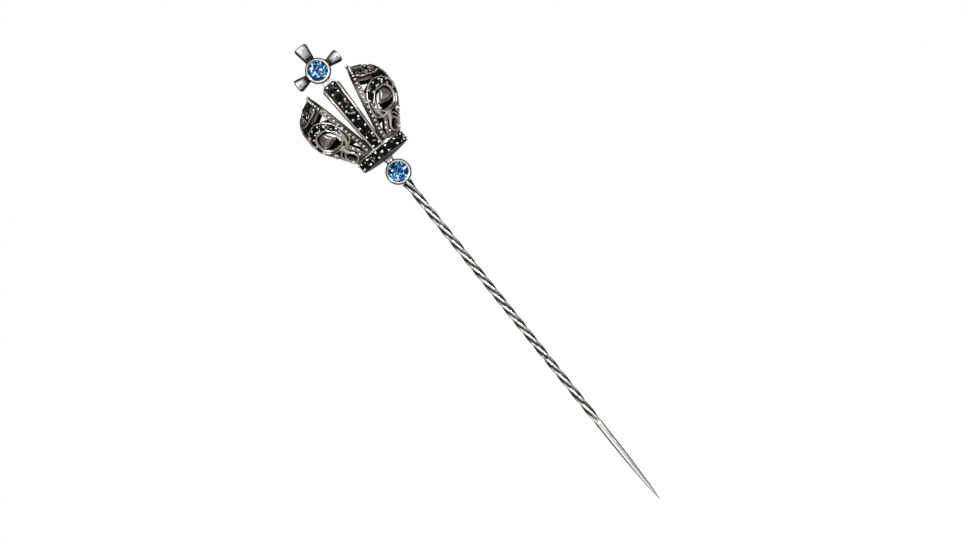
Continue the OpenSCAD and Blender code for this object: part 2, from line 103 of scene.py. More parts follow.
class Solid:
    """Closed surfaces in millimetres. The methods that add a shape return the solid."""

    def __init__(self):
        self.points, self.faces = [], []

    def add(self, points, faces):
        first = len(self.points)
        self.points += [Vector(p) for p in points]
        self.faces += [tuple(first + i for i in face) for face in faces]
        return self

    def sweep(self, rings, closed=False):
        """Joins rings of equal size into a tube, with flat ends unless it closes on itself."""
        n, count = len(rings[0]), len(rings)
        faces = []
        for i in range(count if closed else count - 1):
            a, b = i * n, (i + 1) % count * n
            faces += [(a + k, a + (k + 1) % n, b + (k + 1) % n, b + k) for k in range(n)]
        if not closed:
            faces += [tuple(reversed(range(n))), tuple(range((count - 1) * n, count * n))]
        return self.add([p for ring in rings for p in ring], faces)

    def lathe(self, profile, at=Matrix(), segments=40):
        """Turns a profile of (radius, height) round the Z axis of at, from pole to pole."""
        points, rows = [], []
        for r, z in profile:
            count = 1 if r < 1e-6 else segments
            rows.append([len(points) + k for k in range(count)])
            points += [at @ p for p in circle(r, z, segments)[:count]]
        faces = []
        for a, b in zip(rows, rows[1:]):
            for k in range(segments):
                m = (k + 1) % segments
                corners = [a[k % len(a)], a[m % len(a)], b[m % len(b)], b[k % len(b)]]
                faces.append(tuple(dict.fromkeys(corners)))
        return self.add(points, faces)

    def ring(self, profile, at=Matrix(), segments=64):
        """Turns a closed profile that stays clear of the axis."""
        rows = [[at @ p for p in circle(r, z, segments)] for r, z in profile]
        return self.sweep(list(zip(*rows, strict=True)), closed=True)

    def ball(self, at, radius, segments=14):
        half = segments // 2
        turns = [pi * k / half for k in range(half + 1)]
        return self.lathe([(radius * sin(t), -radius * cos(t)) for t in turns], at, segments)

    def join(self, other, matrix=Matrix()):
        flip = matrix.to_3x3().determinant() < 0
        faces = [tuple(reversed(f)) for f in other.faces] if flip else other.faces
        return self.add([matrix @ p for p in other.points], faces)

    def mesh(self):
        mesh = bpy.data.meshes.new("solid")
        mesh.from_pydata([tuple(p) for p in self.points], [], self.faces)
        tidy = bmesh.new()
        tidy.from_mesh(mesh)
        bmesh.ops.recalc_face_normals(tidy, faces=tidy.faces)
        tidy.to_mesh(mesh)
        tidy.free()
        return mesh


def fused(solid, voxel, smoothing):
    """The solid's overlapping shapes as one skin with soft joints, as a casting has."""
    work = link(bpy.data.objects.new("fusing", solid.mesh()))
    remesh = work.modifiers.new("fuse", "REMESH")
    remesh.mode = "VOXEL"
    remesh.voxel_size = voxel
    soften = work.modifiers.new("soften", "SMOOTH")
    soften.factor, soften.iterations = 0.5, smoothing
    graph = bpy.context.evaluated_depsgraph_get()
    mesh = bpy.data.meshes.new_from_object(work.evaluated_get(graph))
    bpy.data.objects.remove(work)
    return mesh


def mark_lift(mesh, lift_of):
    """Stores how far each vertex stands above its piece's main surface, in millimetres."""
    flat = np.empty(len(mesh.vertices) * 3)
    mesh.vertices.foreach_get("co", flat)
    lift = mesh.attributes.new("lift", "FLOAT", "POINT")
    lift.data.foreach_set("value", lift_of(flat.reshape(-1, 3)).astype(np.float32))


def make_piece(
    name, shape, material, replaces, sharp=35, mirror=(1, 1), lift_of=None
):
    """Makes a piece from a Solid or a mesh in millimetres, mirrored across X or Y if asked.

    Sharp is the angle in degrees from which an edge stays sharp, or 0 for flat facets.
    """
    mesh = shape.mesh() if isinstance(shape, Solid) else shape.copy()
    if lift_of:
        mark_lift(mesh, lift_of)
    mesh.transform(Matrix.Diagonal((MM * mirror[0], MM * mirror[1], MM, 1)))
    if mirror[0] * mirror[1] < 0:
        mesh.flip_normals()
    mesh.name = name
    mesh.materials.clear()
    mesh.materials.append(material)
    if sharp:
        mesh.shade_smooth()
        mesh.set_sharp_from_angle(angle=radians(sharp))
    else:
        mesh.shade_flat()
    piece = link(bpy.data.objects.new(name, mesh))
    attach(piece, "root")
    if replaces:
        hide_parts(*replaces)


# ---- Profiles of the crown ----


def weighted(weights, points):
    """The weighted sum of points of two numbers."""
    return tuple(sum(w * p[c] for w, p in zip(weights, points, strict=True)) for c in range(2))


class Profile:
    """A meridian of the crown: (radius, height) points, walked by length from the seat."""

    def __init__(self, points):
        self.points = points
        self.runs = [0.0]
        for (r0, z0), (r1, z1) in zip(points, points[1:]):
            self.runs.append(self.runs[-1] + hypot(r1 - r0, z1 - z0))
        self.length = self.runs[-1]

    def at(self, s):
        s = min(max(s, 0.0), self.length - 1e-6)
        i = max(k for k, run in enumerate(self.runs) if run <= s)
        f = (s - self.runs[i]) / (self.runs[i + 1] - self.runs[i])
        (r0, z0), (r1, z1) = self.points[i], self.points[i + 1]
        return r0 + f * (r1 - r0), z0 + f * (z1 - z0)

    def radius(self, height):
        return self.at(self.length_at(height))[0]

    def slope(self, s):
        """The unit direction (radius, height) in which the meridian climbs."""
        (r0, z0), (r1, z1) = self.at(s - 0.06), self.at(s + 0.06)
        size = hypot(r1 - r0, z1 - z0)
        return (r1 - r0) / size, (z1 - z0) / size

    def length_at(self, height):
        i = max(k for k, (_, z) in enumerate(self.points[:-1]) if z <= height)
        z0, z1 = self.points[i][1], self.points[i + 1][1]
        return self.runs[i] + (height - z0) / (z1 - z0) * (self.runs[i + 1] - self.runs[i])

    def frame(self, s, azimuth, lift=0.0):
        """A frame on the crown: X towards growing azimuth, Y up the meridian, Z out."""
        r, z = self.at(s)
        dr, dz = self.slope(s)
        a = radians(azimuth)
        out = Vector((sin(a), -cos(a), 0))
        up = Vector((0, 0, 1))
        along, normal = dr * out + dz * up, dz * out - dr * up
        side = along.cross(normal)
        matrix = Matrix((side, along, normal)).transposed().to_4x4()
        matrix.translation = r * out + (CROWN_Z + z) * up + lift * normal
        return matrix

    def point(self, s, azimuth, lift=0.0):
        return self.frame(s, azimuth, lift).to_translation()

    def lifts(self, points):
        """The signed distance of each point from the surface, outwards positive."""
        place = np.stack([np.hypot(points[:, 0], points[:, 1]), points[:, 2] - CROWN_Z], 1)
        best = np.full(len(place), 1e9)
        lift = np.zeros(len(place))
        for a, b in zip(self.points, self.points[1:]):
            a, run = np.array(a), np.array(b) - np.array(a)
            along = np.clip((place - a) @ run / (run @ run), 0, 1)
            away = place - a - along[:, None] * run
            gap = np.hypot(away[:, 0], away[:, 1])
            side = np.sign(away[:, 0] * run[1] - away[:, 1] * run[0])
            lift = np.where(gap < best, gap * side, lift)
            best = np.minimum(gap, best)
        return lift


FOOT_R = BAND_R - 0.04
DOME_MID, DOME_UP, DOME_DOWN, DOME_POWER = 6.2, 5.2, 5.6, 0.77
FLARE = radians(-30)


def flare_and_lower_curve():
    lower = [FLARE * (1 - k / 20) for k in range(21)]
    return [(FOOT_R, 0.0)] + [(DOME_R * cos(a), DOME_MID + DOME_DOWN * sin(a)) for a in lower]


def dome_points():
    upper = [radians(74) * (k / 50) ** 1.2 for k in range(1, 51)]
    power = DOME_POWER
    return flare_and_lower_curve() + [
        (DOME_R * cos(a) ** power, DOME_MID + DOME_UP * sin(a) ** power) for a in upper
    ]


def arch_points():
    """The arch leaves the dome's line at its widest point and flattens towards the top."""
    top = ARCH_TOP - 0.14
    p = [(DOME_R, DOME_MID), (DOME_R, 10.2), (5.6, top), (0.0, top)]
    curve = []
    for k in range(1, 41):
        t = k / 40
        w = [(1 - t) ** 3, 3 * (1 - t) ** 2 * t, 3 * (1 - t) * t * t, t**3]
        curve.append(weighted(w, p))
    return flare_and_lower_curve() + curve


dome = Profile(dome_points())
arch = Profile(arch_points())


def seen(x, height):
    """The (azimuth, height) of the dome's front at a distance x beside the middle."""
    return degrees(asin(min(1.0, x / dome.radius(height)))), height


def front(*places):
    """The (azimuth, height) of places on the dome's front, each given as (x, height)."""
    return [seen(*place) for place in places]


def on_dome(x, height):
    """A frame on the dome's front at a distance x beside the middle."""
    azimuth, z = seen(x, height)
    return dome.frame(dome.length_at(z), azimuth)


def oval(x, height, across_half, up_half, lean=0.0):
    """The (azimuth, height) points of a loop that looks like an oval from the front."""
    c, s = cos(lean), sin(lean)
    around = [(across_half * cos(t), up_half * sin(t)) for t in turns_of(10)]
    return front(*((x + u * c - v * s, height + u * s + v * c) for u, v in around))


def on_path(points, closed=False, step=0.1):
    """Points of a smooth curve through (azimuth, height) points, as (s, azimuth)."""
    knots = [(dome.length_at(z), a) for a, z in points]
    return through(knots, closed, step)


def through(knots, closed=False, step=0.1):
    """Evenly spaced points of a Catmull-Rom curve through (s, azimuth) knots on the dome."""
    n = len(knots)
    fine = []
    for i in range(n if closed else n - 1):
        near = range(i - 1, i + 3)
        four = [knots[j % n if closed else min(max(j, 0), n - 1)] for j in near]
        for k in range(24):
            t = k / 24
            w = [
                (-t + 2 * t * t - t**3) / 2,
                (2 - 5 * t * t + 3 * t**3) / 2,
                (t + 4 * t * t - 3 * t**3) / 2,
                (t**3 - t * t) / 2,
            ]
            fine.append(weighted(w, four))
    fine.append(knots[0] if closed else knots[-1])
    return evenly(fine, closed, step)


def evenly(fine, closed, step):
    """Points about a step apart along a fine line."""
    places = [dome.point(s, a) for s, a in fine]
    runs = [0.0]
    for p, q in zip(places, places[1:]):
        runs.append(runs[-1] + (q - p).length)
    count = max(3, round(runs[-1] / step))
    out, i = [], 0
    for k in range(count if closed else count + 1):
        want = runs[-1] * k / count
        while i < len(runs) - 2 and runs[i + 1] < want:
            i += 1
        span = runs[i + 1] - runs[i]
        f = 0 if span < 1e-9 else (want - runs[i]) / span
        out.append(tuple(fine[i][c] + f * (fine[i + 1][c] - fine[i][c]) for c in range(2)))
    return out


def rib(solid, path, width, top, base=-0.5, closed=False, taper=(1, 1), crown=0.6, step=0.1):
    """A raised rib along (s, azimuth) points, round on top, with round ends."""
    places = [dome.point(s, a) for s, a in path]
    rings = []
    for i, (s, a) in enumerate(path):
        before = places[i - 1] if closed or i else places[0]
        after = places[(i + 1) % len(path)] if closed or i + 1 < len(path) else places[-1]
        normal = dome.frame(s, a).to_3x3().col[2]
        side = (after - before).cross(normal).normalized()
        f = i / (len(path) - 1)
        w = width * (taper[0] + f * (taper[1] - taper[0]))
        t = top
        if not closed:
            end = min(i, len(path) - 1 - i) * step
            if end < w / 2:
                w *= max(0.25, sqrt(1 - (1 - 2 * end / w) ** 2))
                t = base + (top - base) * (0.75 + 0.5 * end / width)
        ring = [places[i] + normal * base - side * w / 2]
        for k in range(9):
            turn = pi * k / 8
            rise = base + (t - base) * (1 - crown + crown * sin(turn) ** 0.7)
            ring.append(places[i] + normal * rise - side * w / 2 * cos(turn))
        ring.append(places[i] + normal * base + side * w / 2)
        rings.append(ring)
    solid.sweep(rings, closed)


def ribs(solid, rows):
    """Several ribs, each given as (azimuth, height) points, a width, a top and maybe a base."""
    for points, *sizes in rows:
        rib(solid, on_path(points), *sizes)


def loop(solid, points, width, top, base=-0.5):
    """A rib round a closed line of (azimuth, height) points."""
    rib(solid, on_path(points, closed=True), width, top, base, closed=True)


def patch(solid, curves, low, high, bulge=0.0, rows=16, columns=26):
    """A leaf of metal stretched across two or three curves of (azimuth, height) points."""
    lines = []
    for curve in curves:
        line = on_path(curve, step=0.02)
        lines.append([line[round(k * (len(line) - 1) / columns)] for k in range(columns + 1)])
    rings = []
    for k in range(columns + 1):
        top, bottom = [], []
        for j in range(rows + 1):
            t = j / rows
            s, a = across([line[k] for line in lines], t)
            rise = high + bulge * sin(pi * t)
            top.append(dome.point(s, a, rise))
            bottom.append(dome.point(s, a, low))
        rings.append(top + bottom[::-1])
    solid.sweep(rings)


def across(knots, t):
    """The point at t of the curve through two or three knots."""
    if len(knots) == 2:
        w = [1 - t, t]
    else:
        w = [(1 - t) * (1 - 2 * t), 4 * t * (1 - t), t * (2 * t - 1)]
    return weighted(w, knots)


# ---- The window's local plane ----

RING_AZIMUTH, RING_HEIGHT = 47.0, 4.65
WINDOW_R, WINDOW_HALF = 1.45, 0.45
RING_S = dome.length_at(RING_HEIGHT)


def near_ring(u, v):
    """The (s, azimuth) of a point u towards the side and v up from the window's middle."""
    s = RING_S + v
    return s, RING_AZIMUTH + degrees(u / dome.at(s)[0])


def round_ring(radius, angle):
    """A point round the window's drawn-out circle, at an angle in degrees."""
    a = radians(angle)
    shift = WINDOW_HALF * max(-1.0, min(1.0, 3 * cos(a)))
    return near_ring(shift + radius * cos(a), radius * sin(a))


def local_of(azimuth, s):
    """The opposite of near_ring."""
    return radians(azimuth - RING_AZIMUTH) * dome.at(s)[0], s - RING_S


def in_window(azimuth, s, radius):
    u, v = local_of(azimuth, s)
    return hypot(max(abs(u) - WINDOW_HALF, 0), v) < radius


def inside_polygon(azimuth, height, corners):
    inside = False
    for (a0, z0), (a1, z1) in zip(corners, corners[1:] + corners[:1]):
        if (z0 > height) != (z1 > height):
            inside ^= azimuth < a0 + (height - z0) / (z1 - z0) * (a1 - a0)
    return inside


# ---- Materials ----


def new_material(name):
    material = bpy.data.materials.new(name)
    material.use_nodes = True
    return material, material.node_tree, material.node_tree.nodes["Principled BSDF"]


def feed(tree, socket, value):
    """Links a socket to another one, or sets it to a number or a colour."""
    if isinstance(value, bpy.types.NodeSocket):
        tree.links.new(value, socket)
    else:
        socket.default_value = (*value, 1) if isinstance(value, tuple) else value


def plug(tree, node, **values):
    """Feeds a node's sockets by their names, with _ for a space."""
    for name, value in values.items():
        feed(tree, node.inputs[name.replace("_", " ")], value)
    return node


def add(tree, kind, **values):
    return plug(tree, tree.nodes.new("ShaderNode" + kind), **values)


def ramp(tree, source, stops):
    node = add(tree, "ValToRGB", Fac=source)
    while len(node.color_ramp.elements) < len(stops):
        node.color_ramp.elements.new(0.5)
    for element, (place, colour) in zip(node.color_ramp.elements, stops, strict=True):
        element.position = place
        element.color = (*colour, 1) if isinstance(colour, tuple) else (colour,) * 3 + (1,)
    return node.outputs[0]


def maths(tree, operation, *values):
    node = add(tree, "Math")
    node.operation = operation
    for socket, value in zip(node.inputs, values):
        feed(tree, socket, value)
    return node.outputs[0]


def blend_colours(tree, factor, a, b):
    node = add(tree, "Mix", Factor=factor)
    node.data_type = "RGBA"
    colours = [socket for socket in node.inputs if socket.type == "RGBA"]
    for socket, value in zip(colours, (a, b), strict=True):
        feed(tree, socket, value)
    return [socket for socket in node.outputs if socket.type == "RGBA"][0]


def texture(tree, kind, **settings):
    """A texture node in the object's own coordinates."""
    return add(tree, kind, Vector=add(tree, "TexCoord").outputs["Object"], **settings)


def noise(tree, scale, detail=3.0):
    return texture(tree, "TexNoise", Scale=scale, Detail=detail).outputs["Fac"]


def facets(tree, scale):
    """A random value from 0 to 1 for each facet of a stone."""
    cells = texture(tree, "TexVoronoi", Scale=scale)
    return add(tree, "SeparateColor", Color=cells.outputs["Color"]).outputs[0]


def silver(name, stops, roughness, reach=0.4, lifts=None, tarnish_and_reflection=(1100, 0.3, 0.78)):
    """Silver that is bright where it stands proud and black with tarnish in its recesses.

    Reach is how far off a wall shelters the metal, lifts are the vertex lifts of the darkest and
    the brightest metal, and the last argument gives patches of darker metal, tarnish on most
    silvers and a painted blue-grey reflection on the cross plates and bezels: their scale, the
    noise value where they are darkest, and the share of brightness that they leave there.
    """
    material, tree, shader = new_material(name)
    shelter = add(tree, "AmbientOcclusion", Distance=reach * MM)
    shelter.samples = 8
    factor = ramp(tree, shelter.outputs["AO"], [(0.2, 0.0), (0.75, 1.0)])
    scale, start, least = tarnish_and_reflection
    tarnish_and_reflection_patches = ramp(tree, noise(tree, scale), [(start, least), (0.62, 1.0)])
    factor = maths(tree, "MULTIPLY", factor, tarnish_and_reflection_patches)
    if lifts:
        lift = add(tree, "Attribute")
        lift.attribute_name = "lift"
        low, high = lifts
        proud = add(tree, "MapRange", Value=lift.outputs["Fac"], From_Min=low, From_Max=high)
        factor = maths(tree, "MULTIPLY", factor, proud.outputs["Result"])
    rough = ramp(tree, factor, [(0.0, roughness + 0.25), (1.0, roughness)])
    grain = add(tree, "Bump", Height=noise(tree, 2600, 2.0), Distance=0.02 * MM, Strength=0.25)
    plug(tree, shader, Base_Color=ramp(tree, factor, stops), Metallic=1.0, Roughness=rough)
    plug(tree, shader, Normal=grain.outputs[0])
    return material


def stone_material(name, facet_scales, stops, roughness, specular):
    """A dark stone with painted sparkle: each facet takes its colour from stops, by chance, and the
    bright stops are painted glints and reflections.

    Facet scales are (scale, share) pairs of facet patterns that are added up.
    """
    material, tree, shader = new_material(name)
    shares = [maths(tree, "MULTIPLY", facets(tree, f), share) for f, share in facet_scales]
    value = shares[0] if len(shares) == 1 else maths(tree, "ADD", *shares)
    colour = ramp(tree, value, stops)
    plug(tree, shader, Base_Color=colour, Roughness=roughness, IOR=1.5)
    plug(tree, shader, Specular_IOR_Level=specular)
    return material


BRIGHT, TARNISH = (0.9, 0.88, 0.85), (0.012, 0.011, 0.01)
polished = silver("polished_silver", [(0.0, (0.12, 0.11, 0.1)), (0.8, BRIGHT)], 0.16)
worn_stops = [(0.08, TARNISH), (0.4, (0.13, 0.12, 0.11)), (0.8, (0.82, 0.77, 0.71))]
oxidised = silver("oxidised_silver", worn_stops, 0.26, lifts=(-0.22, 0.22))
twisted = silver(
    "twisted_silver", [(0.06, TARNISH), (0.32, (0.17, 0.16, 0.15)), (0.72, BRIGHT)], 0.2,
    lifts=(-0.16, -0.02), tarnish_and_reflection=(1900, 0.36, 0.42),
)
# Painted shade and reflection: the lifts paint a dark outline along the rolled edges of the cross
# plates and bezel lips, and the blue-grey middle stop with its patches is a painted reflection.
painted_edge_shade_and_reflection_stops = [(0.0, (0.03, 0.024, 0.018)), (0.45, (0.34, 0.38, 0.41)), (0.85, BRIGHT)]
shade_and_reflection_silver = silver(
    "silver_painted_edge_shade_and_reflection", painted_edge_shade_and_reflection_stops, 0.16, reach=0.2, lifts=(-0.05, 0.0), tarnish_and_reflection=(620, 0.4, 0.68)
)
beaded = silver("beaded_silver", [(0.0, (0.15, 0.14, 0.13)), (0.5, BRIGHT)], 0.26, reach=0.12)
worn_beads = silver("worn_beads", [(0.1, TARNISH), (0.8, (0.66, 0.61, 0.57))], 0.3, reach=0.25)
# Painted light and shade: the blue stones' facets run from near-black navy to a near-white painted
# sparkle, over the stone's own blue.
topaz_painted_sparkle_stops = [
    (0.18, (0.001, 0.002, 0.008)), (0.38, (0.001, 0.009, 0.038)), (0.56, (0.004, 0.04, 0.14)),
    (0.7, (0.01, 0.13, 0.34)), (0.8, (0.06, 0.34, 0.55)), (0.9, (0.62, 0.86, 0.94)),
]
topaz = stone_material("blue_topaz", [(4800, 0.72), (1900, 0.28)], topaz_painted_sparkle_stops, 0.06, 0.25)
# Painted glints: a few facets of the black stones are bright, and the rest keep the stone's own
# black.
spinel_painted_glint_stops = [(0.0, 0.0006), (0.87, 0.003), (0.92, 0.1), (1.0, 0.5)]
black = stone_material("black_spinel", [(3600, 1.0)], spinel_painted_glint_stops, 0.05, 0.06)


# ---- Wire ----

WIRE_W, WIRE_FLARE, SHANK_R = 1.16, 1.5, 0.5
SHANK_TOP, POINT_TOP = 1.5, -1.5
TWISTED = wire_high.z - SHANK_TOP
QUARTER_TURNS, PITCH_DRIFT = 17, 0.14
SIDE_HOLLOW = 0.26
EASE, SQUARE_EASE = 3, 2


def wire_half(rise):
    """Half the wire's width across its corners, a rise above the plain shank."""
    half = WIRE_W / 2 + (WIRE_FLARE - WIRE_W) / 2 * np.clip(1 - (TWISTED - rise) / EASE, 0, 1) ** 2
    return half - (WIRE_W / 2 - SHANK_R) * np.clip(1 - rise / EASE, 0, 1) ** 2


def wire_ring(z, count=32):
    """The wire's section at height z: a square with soft corners and hollow sides."""
    rise = z - SHANK_TOP
    u = rise / TWISTED
    turn = -pi / 2 * QUARTER_TURNS * (u - PITCH_DRIFT * sin(2 * pi * u) / pi / 2)
    half, square = wire_half(rise), min(1.0, rise / SQUARE_EASE)
    ring = []
    for a in turns_of(count):
        r = half * (1 - SIDE_HOLLOW * square * (0.5 - 0.5 * cos(4 * a)))
        ring.append(Vector((r * cos(a + turn), r * sin(a + turn), z)))
    return ring


def drawn_wire(steps=380):
    heights = [wire_high.z + (SHANK_TOP - wire_high.z) * k / steps for k in range(steps + 1)]
    return Solid().sweep([wire_ring(z) for z in heights])


def plain_point():
    """The plain shank and the point, as (share of the shank's radius, share of the point)."""
    point = POINT_TOP - wire_low.z
    shares = [(1, 0), (0.95, 0.2), (0.86, 0.38), (0.62, 0.72), (0.44, 0.86), (0.2, 0.96)]
    taper = [(1, SHANK_TOP + 0.01)] + [(share, POINT_TOP - down * point) for share, down in shares]
    taper += [(0.06, wire_low.z + 0.02), (0.02, wire_low.z)]
    return Solid().sweep([circle(share * SHANK_R, z, 32) for share, z in taper])


def wire_lift(points):
    """How far each point lies below the wire's corners."""
    rise = points[:, 2] - SHANK_TOP
    return np.where(rise > 0, np.hypot(points[:, 0], points[:, 1]) - wire_half(rise), 0)


make_piece("drawn_wire", drawn_wire(), twisted, ["pin_wire"], sharp=60, lift_of=wire_lift)
make_piece("plain_point", plain_point(), polished, ["pin_wire"], sharp=60)


# ---- Round stones ----

GIRDLE_DEPTH, TABLE_RISE = 0.12, 0.15


def brilliant(solid, at, diameter):
    """A round brilliant with its girdle at z = 0 and its table towards +Z."""
    r = diameter / 2
    table, star, girdle = 0.56 * r, 0.8 * r, 0.03 * diameter
    table_z, star_z, low = TABLE_RISE * diameter, 0.09 * diameter, -0.45 * diameter
    points = circle(table, table_z, 8) + circle(star, star_z, 8, 0.5) + circle(r, 0, 16)
    points += circle(r, -girdle, 16) + circle(0.45 * r, 0.55 * low, 8, 0.5) + [Vector((0, 0, low))]
    t, s, g, h, p, culet = 0, 8, 16, 32, 48, 56
    faces = [tuple(range(8))]
    for k in range(8):
        n, b = (k + 1) % 8, (k - 1) % 8
        g0, g1, g2 = g + 2 * k, g + 2 * k + 1, g + (2 * k + 2) % 16
        faces += [(t + n, t + k, s + k), (t + k, s + b, g0, s + k), (s + k, g0, g1)]
        faces += [(s + k, g1, g2)]
        h0, h1, h2 = g0 + 16, g1 + 16, h + (2 * k + 2) % 16
        faces += [(g0, h0, h1, g1), (g1, h1, h2, g2)]
        faces += [(h0, p + k, h1), (h1, p + k, h2), (h0, p + b, culet, p + k)]
    solid.add([at @ p for p in points], faces)


def stones(name, places, diameter, material, replaces, mirror=(1, 1)):
    solid = Solid()
    for place in places:
        brilliant(solid, place, diameter)
    make_piece(name, solid, material, replaces, sharp=0, mirror=mirror)


def grains(name, places, radius, replaces, mirror=(1, 1), material=beaded):
    solid = Solid()
    for place in places:
        solid.ball(place, radius)
    make_piece(name, solid, material, replaces, mirror=mirror)


# ---- Bezels and blue stones ----

FACING = Matrix.Rotation(radians(90), 4, "X")
BEZEL_BORE = 0.92


def bezel(name, height, node):
    """A tube with a burnished lip, open at the back. Its section is (inset, depth) points."""
    r, deep = BEZEL_R, BEZEL_FRONT
    outside = [(0.06, -deep), (0, 0.06 - deep), (0, 0.36 - deep), (0, 0), (0, deep - 0.38)]
    lip = [
        (0, 0.2), (0.02, 0.1), (0.06, 0.04), (0.12, 0.01), (0.2, 0), (0.3, 0.015), (0.38, 0.05),
        (0.44, 0.1), (0.47, 0.16), (0.47, 0.26), (0.3, 0.34), (0.3, 0.42),
    ]
    profile = [(r - inset, z) for inset, z in outside]
    profile += [(r - inset, deep - down) for inset, down in lip]
    profile += [(BEZEL_BORE, -0.3), (BEZEL_BORE, -deep)]
    tube = Solid().ring(profile, Matrix.Translation((0, 0, height)) @ FACING, 96)

    def lift(points):
        """Lower towards the lip's outer edge, which paints shade there as a dark outline, and down
        its inside.
        """
        rho = np.hypot(points[:, 0], points[:, 2] - height)
        lip = np.clip((np.abs(points[:, 1]) - deep + 0.35) / 0.15, 0, 1)
        return -0.75 * lip * np.maximum(rho - r + 0.2, 0) - np.maximum(r - 0.42 - rho, 0)

    make_piece(name, tube, shade_and_reflection_silver, [node], sharp=50, lift_of=lift)


def blue_stone(name, height, node):
    low, high = box_mm(node)
    diameter = high.x - low.x
    girdle = low.y + TABLE_RISE * diameter
    place = Matrix.Translation((0, girdle, height)) @ FACING @ Matrix.Rotation(0.2, 4, "Z")
    stones(name, [place], diameter, topaz, [node])


for end, height in (("lower", BEZEL_Z), ("cross", CROSS_Z)):
    bezel(f"{end}_bezel_tube", height, f"{end}_bezel")
    blue_stone(f"{end}_topaz", height, f"{end}_blue_stone")


# ---- Crown base ----

BLACK_D = 1.32


def crown_base():
    base, top = post_low.z, post_high.z
    post = [
        (0, base - 0.1), (0.96, base - 0.1), (0.9, base + 0.15), (0.9, top - 0.25),
        (1.05, top - 0.1), (1.12, top + 0.05), (1.05, top + 0.16), (0, top + 0.16),
    ]
    collar = Solid().lathe([(post_high.x * share, z) for share, z in post])
    make_piece("neck_collar", collar, polished, ["neck_post"])
    rim, sag = floor_high.x, floor_high.z - floor_low.z
    under = [(rim * k / 12, floor_low.z + sag * (k / 12) ** 2) for k in range(13)]
    over = [(rim, floor_high.z + 0.1), (0, floor_high.z + 0.1)]
    bowl = Solid().lathe(under + over, segments=72)
    make_piece(
        "crown_bowl", bowl, oxidised, ["crown_floor"], lift_of=lambda p: np.full(len(p), -0.03)
    )
    low, high, out = seat_low.z, seat_high.z, seat_high.x
    section = [
        (out - 0.9, low), (out - 0.05, low), (out, low + 0.04), (out, high - 0.05),
        (out - 0.06, high), (out - 0.9, high),
    ]
    ring = Solid().ring(section, segments=96)
    make_piece("bright_seat_ring", ring, polished, ["seat_ring"])


def stone_band(count=14):
    """The band: two thin rails with a dark channel between them, full of round stones."""
    low, high, r, rail, sink = band_low.z, band_high.z, BAND_R, 0.13, 0.14
    inner, middle = r - 0.75, (low + high) / 2
    section = [
        (inner, low), (r - 0.04, low), (r, low + 0.04), (r, low + rail - 0.03),
        (r - 0.04, low + rail), (r - sink, low + rail + 0.04), (r - sink, high - rail - 0.04),
        (r - 0.04, high - rail), (r, high - rail + 0.03), (r, high - 0.04),
        (r - 0.04, high), (inner, high),
    ]
    band = Solid().ring(section, segments=112)

    def lift(points):
        """The lower rail is darker than the upper one: painted shade."""
        lower = 0.08 * (points[:, 2] < middle)
        return 2.5 * (np.hypot(points[:, 0], points[:, 1]) - r + 0.05 - lower)

    make_piece("stone_band", band, oxidised, ["base_band"], lift_of=lift)

    def place(step, rise, depth):
        turn = Matrix.Rotation(2 * pi * step / count, 4, "Z")
        sunk = FACING @ Matrix.Translation((0, 0, -depth))
        return turn @ Matrix.Translation((0, -r, middle + rise)) @ sunk

    set_in = [place(k, 0, GIRDLE_DEPTH) for k in range(count)]
    stones("band_black_stones", set_in, BLACK_D, black, ["band_stones"])
    held = [place(k + 0.5, rise, 0.03) for k in range(count) for rise in (-0.42, 0.42)]
    grains("band_bead_grains", held, 0.2, ["band_grains"])


crown_base()
stone_band()


# ---- Arch ----

ARCH_FOOT, ARCH_SHOULDER, ARCH_NECK = 0.97, 1.38, 0.9
SHOULDER_Z, NECK_Z = ARCH_TOP - 0.64, ARCH_TOP - 0.06
ARCH_FIRST, ARCH_PITCH, ARCH_COUNT, ARCH_LAST_GRAIN = 1.13, 1.46, 7, 10.45
RAIL_TOP, ARCH_DEPTH = 0.14, 0.76


def arch_half_width(s):
    z = arch.at(s)[1]
    if z < SHOULDER_Z:
        return ARCH_FOOT + (ARCH_SHOULDER - ARCH_FOOT) * z / SHOULDER_Z
    f = min(1.0, (z - SHOULDER_Z) / (NECK_Z - 0.14 - SHOULDER_Z))
    return ARCH_SHOULDER + (ARCH_NECK - ARCH_SHOULDER) * f


def arch_section(s):
    """The channel's outline: two rails with a bevel outside, and a floor between them."""
    w, z = arch_half_width(s), arch.at(s)[1]
    shut = min(1.0, max(0.0, (z - ARCH_TOP + 0.34) / 0.1))
    bed = -0.06 + (RAIL_TOP + 0.04) * shut
    insets = [
        (0.02, -ARCH_DEPTH), (0, 0.08 - ARCH_DEPTH), (0, -0.22), (0.03, -0.1), (0.15, 0.08),
        (0.2, 0.13), (0.26, RAIL_TOP), (0.34, 0.13), (0.38, 0.08), (0.4, bed),
    ]
    half = [(w - inset, h) for inset, h in insets]
    return half + [(-x, h) for x, h in reversed(half)]


